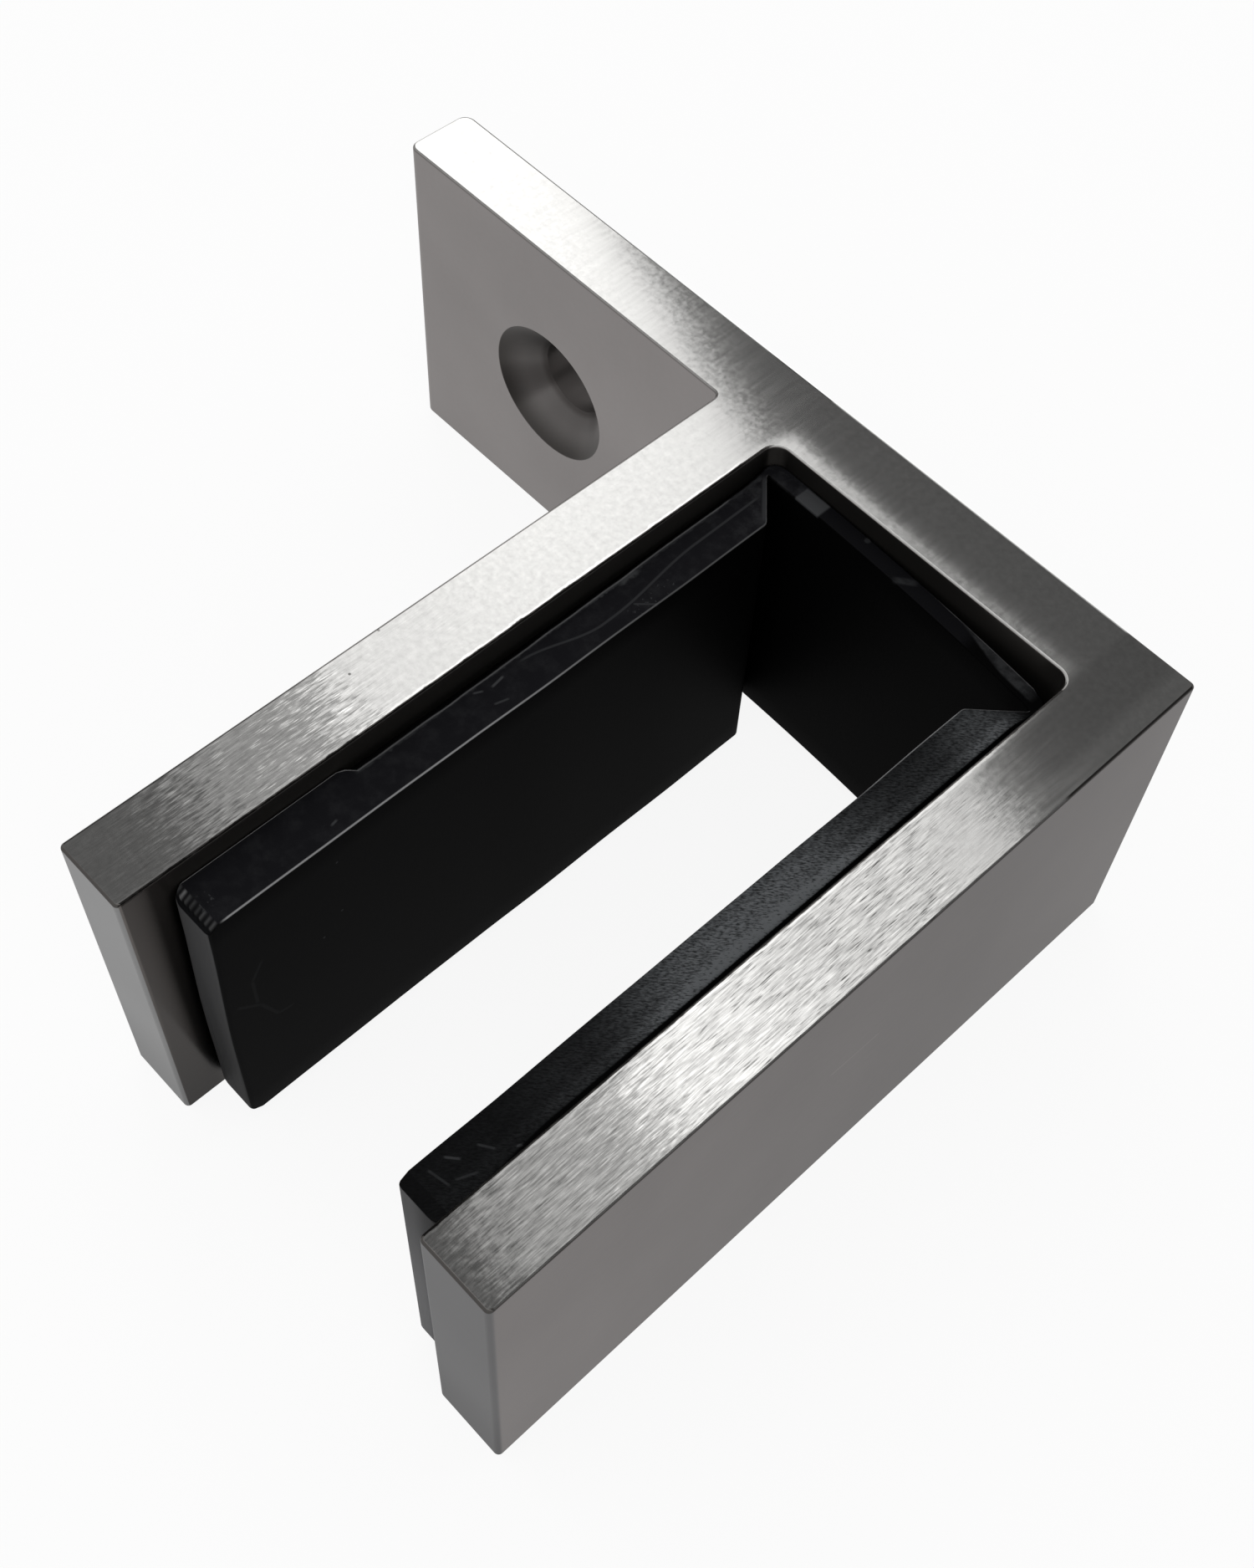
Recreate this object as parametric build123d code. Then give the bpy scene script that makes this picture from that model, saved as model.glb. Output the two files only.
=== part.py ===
from build123d import *
import os

# Glass-to-wall bracket: a one-piece stainless steel body with an F-shaped section, and a
# moulded rubber liner folded into its channel to grip the edge of a glass panel.
# Millimetres, +Z up. The origin lies on the axis of the screw hole, on the wall face, at
# mid height. X runs along the wall, from the flange towards the channel. +Y points into
# the wall, so the flange and the arms stand on the -Y side of it.

# Steel body
body_height = 30.0
plate_thickness = 6.0
arm_thickness = 6.0
flange_length = 35.0
channel_width = 28.0
arm_reach = 63.0

# Corners of the steel section, and the break along its top and bottom edges
channel_corner_radius = 1.2
flange_root_radius = 0.5
flange_tip_back_radius = 1.0
flange_tip_front_radius = 0.8
arm_tip_radius = 0.4
heel_radius = 0.4
edge_break = 0.2

# Screw hole in the flange, countersunk from the side away from the wall
hole_from_tip = 16.5
hole_diameter = 6.6
countersink_diameter = 12.4
countersink_angle = 90.0

# Rubber liner: two thick pads and a thin web, joined by mitred folds. The right-hand leg
# sits a little further out of the channel than the left-hand one, so the web lies against
# the back of the channel at its left end and curves away from it towards the right.
pad_thickness = 4.0
pad_setback = 3.1
web_thickness = 1.5
fold_thickness = 0.7
right_leg_slip = 1.4
liner_height = 27.0
liner_top_recess = 1.8
fold_root_radius = 0.35
fold_clearance = 0.2
pad_tip_bevel = 0.9
rubber_edge_radius = 0.25

# Places along X
flange_tip_x = -hole_from_tip
left_arm_x = flange_tip_x + flange_length
channel_left_x = left_arm_x + arm_thickness
channel_right_x = channel_left_x + channel_width
heel_x = channel_right_x + arm_thickness

# Places along Y
wall_y = 0.0
plate_front_y = wall_y - plate_thickness
arm_tip_y = wall_y - arm_reach

# Places along Z
body_bottom_z = -body_height / 2
body_top_z = body_height / 2
liner_top_z = body_top_z - liner_top_recess
liner_bottom_z = liner_top_z - liner_height


def section(curves, roundings):
    """A closed outline in plan, with each (radius, corners) pair rounded."""
    outline = make_face(curves)
    for radius, corners in roundings:
        vertices = [outline.vertices().sort_by_distance(Vector(*corner))[0] for corner in corners]
        outline = fillet(vertices, radius)
    return outline


def solid_between(outline, bottom_z, top_z):
    """The outline raised from one height to another."""
    return extrude(Pos(0, 0, bottom_z) * outline, top_z - bottom_z)


def rim_edges(solid):
    """The edges round the solid's bottom face and round its top face."""
    levels = solid.edges().group_by(Axis.Z)
    return levels[0] + levels[-1]


def make_bracket_body():
    """Wall plate, flange and two arms in one piece, with the countersunk screw hole."""
    points = [
        (flange_tip_x, wall_y),
        (heel_x, wall_y),
        (heel_x, arm_tip_y),
        (channel_right_x, arm_tip_y),
        (channel_right_x, plate_front_y),
        (channel_left_x, plate_front_y),
        (channel_left_x, arm_tip_y),
        (left_arm_x, arm_tip_y),
        (left_arm_x, plate_front_y),
        (flange_tip_x, plate_front_y),
    ]
    roundings = [
        (flange_tip_back_radius, [points[0]]),
        (heel_radius, [points[1]]),
        (arm_tip_radius, [points[2], points[3], points[6], points[7]]),
        (channel_corner_radius, [points[4], points[5]]),
        (flange_root_radius, [points[8]]),
        (flange_tip_front_radius, [points[9]]),
    ]
    outline = section([Polyline(*points, close=True)], roundings)
    body = solid_between(outline, body_bottom_z, body_top_z)
    body = fillet(rim_edges(body), edge_break)
    hole_mouth = Plane(origin=(0, plate_front_y, 0), z_dir=(0, -1, 0))
    screw_hole = CounterSinkHole(
        radius=hole_diameter / 2,
        counter_sink_radius=countersink_diameter / 2,
        depth=plate_thickness,
        counter_sink_angle=countersink_angle,
        mode=Mode.PRIVATE,
    )
    return body - hole_mouth * screw_hole


def make_rubber_liner():
    """The folded liner: a pad along each arm and a web along the back of the channel."""
    left_tip_y = arm_tip_y + pad_setback
    right_tip_y = left_tip_y - right_leg_slip
    left_web_y = plate_front_y - web_thickness
    right_web_y = left_web_y - right_leg_slip
    mitre_run = pad_thickness - fold_thickness
    left_corner = (channel_left_x, plate_front_y)
    right_corner = (channel_right_x, plate_front_y - right_leg_slip)
    right_points = [
        right_corner,
        (channel_right_x, right_tip_y),
        (channel_right_x - pad_thickness, right_tip_y),
        (channel_right_x - pad_thickness, right_web_y - mitre_run),
        (channel_right_x - fold_thickness, right_web_y),
    ]
    left_points = [
        (channel_left_x + fold_thickness, left_web_y),
        (channel_left_x + pad_thickness, left_web_y - mitre_run),
        (channel_left_x + pad_thickness, left_tip_y),
        (channel_left_x, left_tip_y),
        left_corner,
    ]
    curves = [
        TangentArc(left_corner, right_corner, tangent=(1, 0)),
        Polyline(*right_points),
        TangentArc(left_points[0], right_points[-1], tangent=(1, 0)),
        Polyline(*left_points),
    ]
    roundings = [
        (channel_corner_radius + fold_clearance, [left_corner, right_corner]),
        (rubber_edge_radius, [right_points[3], left_points[1]]),
        (fold_root_radius, [right_points[-1], left_points[0]]),
    ]
    liner = solid_between(section(curves, roundings), liner_bottom_z, liner_top_z)
    pad_tips = liner.faces().sort_by(Axis.Y)[:2]
    tip_edges = [edge for tip in pad_tips for edge in tip.edges().filter_by(Axis.X)]
    liner = chamfer(tip_edges, pad_tip_bevel)
    return fillet(rim_edges(liner), rubber_edge_radius)


os.makedirs("parts", exist_ok=True)
export_step(make_bracket_body(), "parts/bracket_body.step")
export_step(make_rubber_liner(), "parts/rubber_liner.step")
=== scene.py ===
import math
from collections import namedtuple
from types import SimpleNamespace

import bpy
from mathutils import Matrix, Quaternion, Vector, noise


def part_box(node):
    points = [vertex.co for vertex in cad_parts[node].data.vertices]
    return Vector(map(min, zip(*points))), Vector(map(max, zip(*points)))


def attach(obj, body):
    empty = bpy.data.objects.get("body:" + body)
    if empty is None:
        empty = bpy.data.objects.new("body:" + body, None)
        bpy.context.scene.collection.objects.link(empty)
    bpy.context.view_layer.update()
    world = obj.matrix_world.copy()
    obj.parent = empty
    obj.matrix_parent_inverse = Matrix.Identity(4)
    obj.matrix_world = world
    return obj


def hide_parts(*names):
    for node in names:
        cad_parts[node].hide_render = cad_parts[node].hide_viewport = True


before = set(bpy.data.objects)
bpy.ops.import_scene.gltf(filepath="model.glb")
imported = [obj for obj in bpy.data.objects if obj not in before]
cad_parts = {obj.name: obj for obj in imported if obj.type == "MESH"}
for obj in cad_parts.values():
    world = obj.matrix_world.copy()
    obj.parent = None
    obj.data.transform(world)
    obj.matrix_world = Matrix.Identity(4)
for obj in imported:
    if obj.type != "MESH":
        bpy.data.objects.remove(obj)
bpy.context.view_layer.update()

MM = 0.001

# Places of the object in millimetres, from the frame
LINER_LOW, LINER_HIGH = (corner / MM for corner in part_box("rubber_liner"))
BODY_LOW, BODY_HIGH = (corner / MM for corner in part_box("bracket_body"))

# Sizes in millimetres that the frame doesn't give
PLATE_FRONT_Y = -6.0
PAD_THICKNESS = 4.0
WEB_THICKNESS = 1.5
FOLD_THICKNESS = 0.7
RIGHT_LEG_SLIP = 1.4
FOLD_OUTER_RADIUS = 1.4
FOLD_ROOT_RADIUS = 0.35
RUBBER_EDGE_RADIUS = 0.13
PAD_TIP_BEVEL = 0.9
TIP_BEVEL_SLOPE = 0.65
WEB_EDGE_BEVEL = 0.15
LEFT_BEVEL_STEP = (-46.2, -45.4)
LEFT_PAD_BEVEL = 0.92
LEFT_BEVEL_AT_REAR = 0.62
RIGHT_PAD_BEVEL = 0.88
RIGHT_BEVEL_GROWTH = 9.0
TIP_OUTER_RADIUS = 1.0
TIP_INNER_RADIUS = 0.3
LEFT_TIP_LEAN = 0.45
RIB_PITCH = 0.50
RIB_HEIGHT = 0.08
FACE_WAVE = 0.10
KNEE_SOFTNESS = 0.25
HOLE_EDGE_RADIUS = 6.2
BORE_RADIUS = 3.3
LEFT_ARM_X = 24.5
RIGHT_ARM_X = 52.5

# Colours of the steel: its sawn and brushed faces, its sides, the right arm's outer face darkened as
# painted shade, the arms' ends (the left one lit as a painted reflection, the right one darkened as
# painted shade), its broken edges darkened as painted shade, painted shadow on the channel behind the
# liner and painted shade in front of it, and the screw hole from top to bottom, with painted shade at
# its top and rim and painted light at its bottom
CUT_STEEL = (0.360, 0.357, 0.349)
SIDE_STEEL = (0.238, 0.2225, 0.218)
SHADED_OUTER_STEEL = (0.164, 0.150, 0.147)
LIT_LEFT_END_STEEL = (0.212, 0.212, 0.213)
SHADED_RIGHT_END_STEEL = (0.098, 0.0965, 0.099)
SHADED_EDGE_STEEL = (0.070, 0.066, 0.063)
SHADOW_STEEL = (0.016, 0.015, 0.014)
SHADED_CHANNEL_STEEL = (0.070, 0.063, 0.059)
SHADED_HOLE_RIM_STEEL = (0.078, 0.072, 0.068)
SHADED_HOLE_TOP_STEEL = (0.066, 0.061, 0.058)
LIT_HOLE_BOTTOM_STEEL = (0.235, 0.222, 0.216)
SHADED_BORE_TOP_STEEL = (0.045, 0.041, 0.039)
LIT_BORE_BOTTOM_STEEL = (0.150, 0.138, 0.133)

# Colours of the rubber: plain, on top, on the cut tips as a painted reflection, where it is grained
# with painted sheen or scuffed, and along worn edges that also carry a painted highlight
PLAIN_RUBBER = (0.0034, 0.0034, 0.0036)
TOP_RUBBER = (0.0068, 0.0068, 0.0080)
TIP_SHEEN_RUBBER = (0.042, 0.042, 0.043)
GRAIN_AND_SHEEN_RUBBER = (0.100, 0.105, 0.110)
SCUFFED_RUBBER = (0.040, 0.041, 0.043)
WEAR_AND_SHEEN_RUBBER = (0.300, 0.300, 0.304)

# Finish of the steel: how rough the sawn faces, the sides and the hole are
SAWN_ROUGHNESS = (0.125, 0.165)
SIDE_ROUGHNESS = 0.30
HOLE_ROUGHNESS = 0.50

# Grain of the steel in millimetres: width, length, seed and detail of each kind of streak
FINE_LINES = (0.09, 1.5, 3.0, 2.0)
COARSE_LINES = (0.30, 5.0, 11.0, 2.0)
SHORT_DASHES = (0.085, 1.2, 71.0, 1.0)
TILTS_ACROSS = (0.09, 1.8, 31.0, 1.0)
TILTS_ALONG = (0.12, 1.2, 47.0, 1.0)
LINES_END_Y = (-33.0, -12.0)
LINES_WANDER = 24.0

# Small pits in the left arm's top, painted dark as painted shade: place, radius and strength
PITS = (((20.25, -41.67), 0.13, 0.8), ((18.75, -38.0), 0.13, 0.6))

# Finish of the rubber, and the strokes of the right pad's grain
RUBBER_ROUGHNESS = 0.55
GRAINED_ROUGHNESS = 0.70
RUBBER_SPECULAR = 0.011
GRAIN_DEPTH = 0.06
GRAIN_ALONG = 2.2
GRAIN_ACROSS = 7.0

# Marks on top of the left pad: two ends, width and strength of each
PAD_SCRATCHES = (
    ((25.9, -7.8), (28.8, -10.8), 0.34, 0.55),
    ((28.9, -21.6), (27.8, -22.8), 0.12, 0.5),
    ((26.30, -33.5), (26.45, -34.6), 0.14, 1.0),
    ((27.9, -34.4), (27.6, -35.4), 0.12, 0.6),
    ((26.3, -35.3), (26.0, -35.9), 0.12, 0.8),
    ((27.55, -48.7), (27.65, -49.2), 0.13, 0.8),
)
PAD_SCUFFS_AND_SHEEN = (
    ((25.85, -20.6), (25.85, -22.3), 0.38, 0.9),
    ((25.72, -22.0), (25.72, -25.5), 0.20, 0.8),
    # A light band along the pad's outer top edge: wear and a painted highlight
    ((25.70, -8.0), (25.60, -45.5), 0.24, 0.45),
)

# Marks on top of the right pad, near its tip: two ends and strength of each
TIP_SCUFF_WIDTH = 0.12
TIP_SCUFFS = (
    ((50.9, -55.9), (50.0, -56.5), 0.5),
    ((50.0, -57.8), (49.3, -58.4), 0.7),
    ((51.3, -57.6), (50.8, -58.8), 0.4),
    ((50.8, -59.3), (49.3, -59.6), 0.4),
    ((51.75, -54.6), (51.65, -54.9), 1.0),
)

# Scratches and specks on the left pad's inner face, as (y, z)
FACE_SCRATCHES = (
    ((-56.5, 5.5), (-57.5, 3.8), (-57.5, 0.75)),
    ((-59.0, 1.9), (-57.3, 0.2), (-56.2, -2.6), (-55.0, -2.9)),
)
FACE_SCRATCH_WIDTH = 0.20
FACE_SCRATCH_STRENGTH = 0.16
FACE_SPECKS = ((-49.8, 10.4), (-50.0, 4.3), (-51.7, 2.6))
FACE_SPECK_RADIUS = 0.13
FACE_SPECK_STRENGTH = 0.7

# Camera in millimetres and degrees, fitted to the edges of the steel body
CAMERA_AT = (86.67, -84.35, 125.07)
CAMERA_AIM = (34.50, -21.50, 0.0)
CAMERA_ROLL = 7.09
CAMERA_LENS = 46.84
CAMERA_SHIFT = (-0.0505, -0.0140)

# Floor and sky: the floor's reach in metres, its grey, how much of it shows as plain white, and
# how bright the sky is at the horizon
FLOOR_REACH = 4.0
FLOOR_GREY = (0.82, 0.82, 0.82, 1)
FLOOR_ROUGHNESS = 0.9
FLOOR_WHITENESS = 0.90
HORIZON_LEVEL = 0.8


class Nodes:
    """Shader nodes under construction: each call adds a node and returns its socket."""

    def __init__(self, tree):
        self.tree = tree
        tree.nodes.clear()

    def node(self, kind, inputs=(), **settings):
        made = self.tree.nodes.new(kind)
        for key, value in settings.items():
            setattr(made, key, value)
        for key, value in dict(inputs).items():
            self.feed(made.inputs[key], value)
        return made

    def feed(self, socket, value):
        if isinstance(value, bpy.types.NodeSocket):
            self.tree.links.new(value, socket)
        else:
            socket.default_value = value

    def math(self, operation, *values):
        made = self.node("ShaderNodeMath", operation=operation)
        for socket, value in zip(made.inputs, values):
            self.feed(socket, value)
        return made.outputs[0]

    def add(self, *values):
        total = values[0]
        for value in values[1:]:
            total = self.math("ADD", total, value)
        return total

    def times(self, *values):
        product = values[0]
        for value in values[1:]:
            product = self.math("MULTIPLY", product, value)
        return product

    def most(self, first, second):
        return self.math("MAXIMUM", first, second)

    def swing(self, texture, size):
        """A texture of 0 to 1 turned into one about zero, that large."""
        return self.times(self.add(texture, -0.5), size)

    def vector(self, operation, *values, output=0):
        made = self.node("ShaderNodeVectorMath", operation=operation)
        for socket, value in zip(made.inputs, values):
            self.feed(socket, value)
        return made.outputs[output]

    def scaled(self, vector, factor):
        made = self.node("ShaderNodeVectorMath", operation="SCALE")
        self.feed(made.inputs[0], vector)
        self.feed(made.inputs["Scale"], factor)
        return made.outputs[0]

    def joined(self, x, y, z):
        return self.node("ShaderNodeCombineXYZ", {0: x, 1: y, 2: z}).outputs[0]

    def parts(self, vector):
        return tuple(self.node("ShaderNodeSeparateXYZ", {0: vector}).outputs)

    def ramp(self, value, low, high, to_low=0.0, to_high=1.0, smooth=True):
        made = self.node("ShaderNodeMapRange", interpolation_type="SMOOTHSTEP" if smooth else "LINEAR")
        for socket, given in zip(made.inputs, (value, low, high, to_low, to_high)):
            self.feed(socket, given)
        return made.outputs[0]

    def window(self, value, low, high, soft):
        """1 between two values, and 0 outside, with soft edges."""
        rise = self.ramp(value, low - soft, low + soft)
        fall = self.ramp(value, high - soft, high + soft, 1.0, 0.0)
        return self.times(rise, fall)

    def blend(self, share, first, second):
        """From the first colour or vector to the second."""
        made = self.node("ShaderNodeMix", data_type="RGBA")
        sockets = made.inputs[0], made.inputs[6], made.inputs[7]
        for socket, value in zip(sockets, (share, first, second)):
            fixed = isinstance(value, tuple) and len(value) == 3
            self.feed(socket, (*value, 1.0) if fixed else value)
        return made.outputs[2]

    def noise(self, place, scale=1.0, detail=2.0, roughness=0.5):
        inputs = {"Vector": place, "Scale": scale, "Detail": detail, "Roughness": roughness}
        return self.node("ShaderNodeTexNoise", inputs).outputs[0]

    def bump(self, height, depth):
        """Relief of that depth in metres, from a height of 0 to 1."""
        return self.node("ShaderNodeBump", {"Height": height, "Distance": depth}).outputs[0]

    def place(self):
        """The point on the surface, in millimetres in the row frame."""
        point = self.node("ShaderNodeTexCoord").outputs["Object"]
        return self.scaled(point, 1 / MM)

    def line(self, u, v, start, end, width):
        """1 along a straight line between two points of the (u, v) plane, 0 beside it."""
        run = (end[0] - start[0], end[1] - start[1])
        length = math.hypot(*run)
        along = (run[0] / length, run[1] / length)
        du, dv = self.add(u, -start[0]), self.add(v, -start[1])
        reach = self.add(self.times(du, along[0]), self.times(dv, along[1]))
        aside = self.math("ABSOLUTE", self.add(self.times(du, along[1]), self.times(dv, -along[0])))
        beside = self.ramp(aside, width * 0.3, width, 1.0, 0.0)
        return self.times(beside, self.window(reach, 0.0, length, width))


def new_material(name):
    material = bpy.data.materials.new(name)
    material.use_nodes = True
    nodes = Nodes(material.node_tree)
    surface = nodes.node("ShaderNodeBsdfPrincipled")
    nodes.node("ShaderNodeOutputMaterial", {"Surface": surface.outputs[0]})
    return material, nodes, surface


def brush_directions(n, normal, end_on, in_hole):
    """The way the brushed lines run, and the way across them, both in the surface."""
    turned = n.vector("CROSS_PRODUCT", normal, (0, 1, 0))
    grain = n.blend(end_on, (0, 1, 0), (1, 0, 0))
    grain = n.vector("NORMALIZE", n.blend(in_hole, grain, turned))
    return grain, n.vector("NORMALIZE", n.vector("CROSS_PRODUCT", grain, normal))


def steel_zones(n):
    """The point on the steel, the way its face looks, and the zones that it belongs to."""
    place = n.place()
    normal = n.node("ShaderNodeNewGeometry").outputs["Normal"]
    x, y, z = n.parts(place)
    facing = [n.math("ABSOLUTE", part) for part in n.parts(normal)]
    end_on = n.ramp(facing[1], 0.6, 0.8)
    from_hole = n.math("SQRT", n.add(n.times(x, x), n.times(z, z)))
    in_hole = n.ramp(from_hole, HOLE_EDGE_RADIUS + 0.02, HOLE_EDGE_RADIUS - 0.06)
    in_hole = n.times(in_hole, n.ramp(y, -0.08, -0.04, 1.0, 0.0))
    in_channel = n.window(x, LEFT_ARM_X - 0.05, RIGHT_ARM_X + 0.05, 0.02)
    in_channel = n.times(in_channel, n.ramp(facing[2], 0.7, 0.4))
    in_channel = n.times(in_channel, n.ramp(y, PLATE_FRONT_Y + 0.1, PLATE_FRONT_Y + 0.3, 1.0, 0.0))
    grain, side = brush_directions(n, normal, end_on, in_hole)
    along = n.vector("DOT_PRODUCT", place, grain, output=1)
    zones = SimpleNamespace(place=place, normal=normal, x=x, y=y, z=z, grain=grain, side=side)
    zones.facing_up = facing[2]
    zones.cut = n.ramp(facing[2], 0.5, 0.9)
    zones.from_hole, zones.in_hole, zones.in_channel = from_hole, in_hole, in_channel
    zones.along, zones.across = along, n.vector("SUBTRACT", place, n.scaled(grain, along))
    return zones


def streaks(n, steel, width, length, seed, detail):
    """Noise drawn out along the brushed lines."""
    drawn_out = n.scaled(steel.grain, n.times(steel.along, 1 / length))
    shifted = n.vector("ADD", n.scaled(steel.across, 1 / width), drawn_out)
    return n.noise(n.vector("ADD", shifted, (seed, seed * 0.7, seed * 1.3)), detail=detail)


def add_grain(n, steel):
    """The arms show fine lines, and the wall plate and the arms' roots a soft speckle."""
    steel.patches = n.noise(steel.place, 0.12, 1.0)
    steel.speck = n.noise(steel.place, 2.0, 3.0, 0.65)
    steel.fine = streaks(n, steel, *FINE_LINES)
    steel.coarse = streaks(n, steel, *COARSE_LINES)
    steel.dashes = streaks(n, steel, *SHORT_DASHES)
    wandering = n.add(steel.y, n.swing(steel.patches, LINES_WANDER))
    line_end = n.ramp(steel.x, 26.0, 48.0, *LINES_END_Y)
    lined = n.ramp(n.math("SUBTRACT", wandering, line_end), 0.0, -12.0)
    steel.lined = n.times(lined, n.ramp(steel.y, -62.5, -55.5, 0.4, 1.0))
    steel.to_right = n.ramp(steel.x, 26.0, 50.0)


def rear_edge_roll(n, x, y):
    """How far the sawn face rolls off towards the rear edge of the channel."""
    depth = n.ramp(x, 25.0, 50.0, 0.012, 0.027, smooth=False)
    middle = n.window(x, LEFT_ARM_X, RIGHT_ARM_X, 1.0)
    return n.times(depth, n.times(n.ramp(y, -3.2, -5.2, smooth=False), middle))


def bent_normal(n, steel):
    """The normal, tilted a little by the brushed lines and by the roll at the rear."""
    lined, cut = steel.lined, steel.cut
    tilt_across = n.swing(streaks(n, steel, *TILTS_ACROSS), 0.22)
    tilt_across = n.times(tilt_across, n.ramp(lined, 0.0, 1.0, 0.15, 1.0))
    tilt_across = n.times(tilt_across, n.ramp(cut, 0.0, 1.0, 0.2, 1.0))
    tilt_along = n.times(n.swing(streaks(n, steel, *TILTS_ALONG), 0.06), lined)
    tilt_along = n.add(tilt_along, n.swing(steel.patches, 0.004))
    speckle = n.times(n.swing(steel.speck, 0.018), n.ramp(lined, 0.0, 1.0, 1.0, 0.7))
    tilt_along = n.times(n.add(tilt_along, speckle), n.ramp(cut, 0.0, 1.0, 0.3, 1.0))
    roll = n.times(rear_edge_roll(n, steel.x, steel.y), cut)
    tilt_along = n.math("SUBTRACT", tilt_along, roll)
    bent = n.vector("ADD", steel.normal, n.scaled(steel.side, tilt_across))
    bent = n.vector("ADD", bent, n.scaled(steel.grain, tilt_along))
    return n.vector("NORMALIZE", bent)


def side_colour(n, x, y, z, place):
    """The smooth sides: the right arm's outer face browner, and darker towards the rear as painted shade;
    the arms' ends greyer, the left end lighter as a painted reflection, and the right end and the feet of
    both ends darker as painted shade.
    """
    outer = n.ramp(x, BODY_HIGH.x - 0.4, BODY_HIGH.x - 0.1)
    scratch = n.times(n.line(y, z, (-33.7, 2.4), (-29.0, 2.1), 0.13), n.ramp(outer, 0.5, 0.9))
    scratch = n.times(scratch, n.add(0.12, n.times(n.window(y, -32.4, -29.6, 0.2), -0.12), 0.45))
    shade = n.add(1.0, n.swing(n.noise(place, 0.09, 3.0), 0.16), scratch)
    # Painted shade on the right arm's outer face: darker towards the rear, a little lighter again near the
    # wall
    towards_rear = n.ramp(y, -62.0, -22.0, 1.06, 0.69, smooth=False)
    outer_shade = n.add(towards_rear, n.ramp(y, -20.0, 0.0, 0.0, 0.10))
    sides = n.blend(outer, SIDE_STEEL, n.scaled(SHADED_OUTER_STEEL, outer_shade))
    # Painted reflection and shade on the arms' ends: the left end lit, the right end darkened, both darker
    # towards the foot
    ends = n.ramp(y, BODY_LOW.y + 0.5, BODY_LOW.y + 0.2)
    on_ends = n.blend(n.ramp(x, LEFT_ARM_X, RIGHT_ARM_X), LIT_LEFT_END_STEEL, SHADED_RIGHT_END_STEEL)
    on_ends = n.scaled(on_ends, n.ramp(z, -15.0, -2.0, 0.69, 1.0))
    return n.blend(ends, n.scaled(sides, shade), on_ends)


def hole_shading(n, from_hole, z):
    """The countersink and the bore: darker at the top and along the rim as painted shade, and lighter at
    the bottom as painted light.
    """
    lower = n.ramp(z, 4.6, -3.6)
    cone = n.blend(lower, SHADED_HOLE_TOP_STEEL, LIT_HOLE_BOTTOM_STEEL)
    bore = n.blend(lower, SHADED_BORE_TOP_STEEL, LIT_BORE_BOTTOM_STEEL)
    inside = n.blend(n.ramp(from_hole, BORE_RADIUS + 0.5, BORE_RADIUS + 0.1), cone, bore)
    rim = n.ramp(from_hole, HOLE_EDGE_RADIUS - 1.7, HOLE_EDGE_RADIUS, 0.0, 0.9)
    return n.blend(rim, inside, SHADED_HOLE_RIM_STEEL)


def ragged_edge_shading(n, x, y, place):
    """The uneven edges that the saw left along the channel, drawn as a dark rim of painted shadow and a
    bright lip of painted highlight.
    """
    from_middle = n.math("ABSOLUTE", n.add(x, -(LEFT_ARM_X + RIGHT_ARM_X) / 2))
    reach = n.add(from_middle, n.swing(n.noise(place, 0.8, 3.0, 0.6), 0.50))
    half = (RIGHT_ARM_X - LEFT_ARM_X) / 2
    on_arms = n.ramp(y, PLATE_FRONT_Y - 2.5, PLATE_FRONT_Y - 4.0)
    rim = n.times(n.ramp(reach, half + 0.18, half + 0.10), on_arms)
    lip = n.times(n.ramp(reach, half + 0.16, half + 0.22), n.ramp(reach, half + 0.42, half + 0.30))
    return rim, n.times(lip, on_arms)


def spot(n, x, y, centre, radius):
    """1 inside a small spot of the (x, y) plane."""
    dx, dy = n.add(x, -centre[0]), n.add(y, -centre[1])
    distance = n.math("SQRT", n.add(n.times(dx, dx), n.times(dy, dy)))
    return n.ramp(distance, radius * 0.5, radius, 1.0, 0.0)


def shaded_edge_break(n, x, y, facing_up, in_channel):
    """How much a surface belongs to the break along the top and bottom edges, which is darkened as painted
    shade.
    """
    edge = n.times(n.ramp(facing_up, 0.10, 0.30), n.ramp(facing_up, 0.9999, 0.996))
    edge = n.times(edge, n.ramp(in_channel, 0.0, 1.0, 1.0, 0.0), n.ramp(x, 17.5, 19.0, 0.45, 1.0))
    between_arms = n.window(x, LEFT_ARM_X, RIGHT_ARM_X, 0.3)
    at_rear = n.times(between_arms, n.ramp(y, PLATE_FRONT_Y - 3.0, PLATE_FRONT_Y))
    crisp = n.times(n.ramp(x, BODY_HIGH.x - 0.5, BODY_HIGH.x - 0.3), n.ramp(y, -13.0, -14.0))
    crisp = n.times(crisp, n.ramp(y, BODY_LOW.y + 0.3, BODY_LOW.y + 0.6), n.ramp(facing_up, 0.60, 0.80))
    return n.times(edge, n.ramp(n.most(at_rear, crisp), 0.0, 1.0, 1.0, 0.0))


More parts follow.
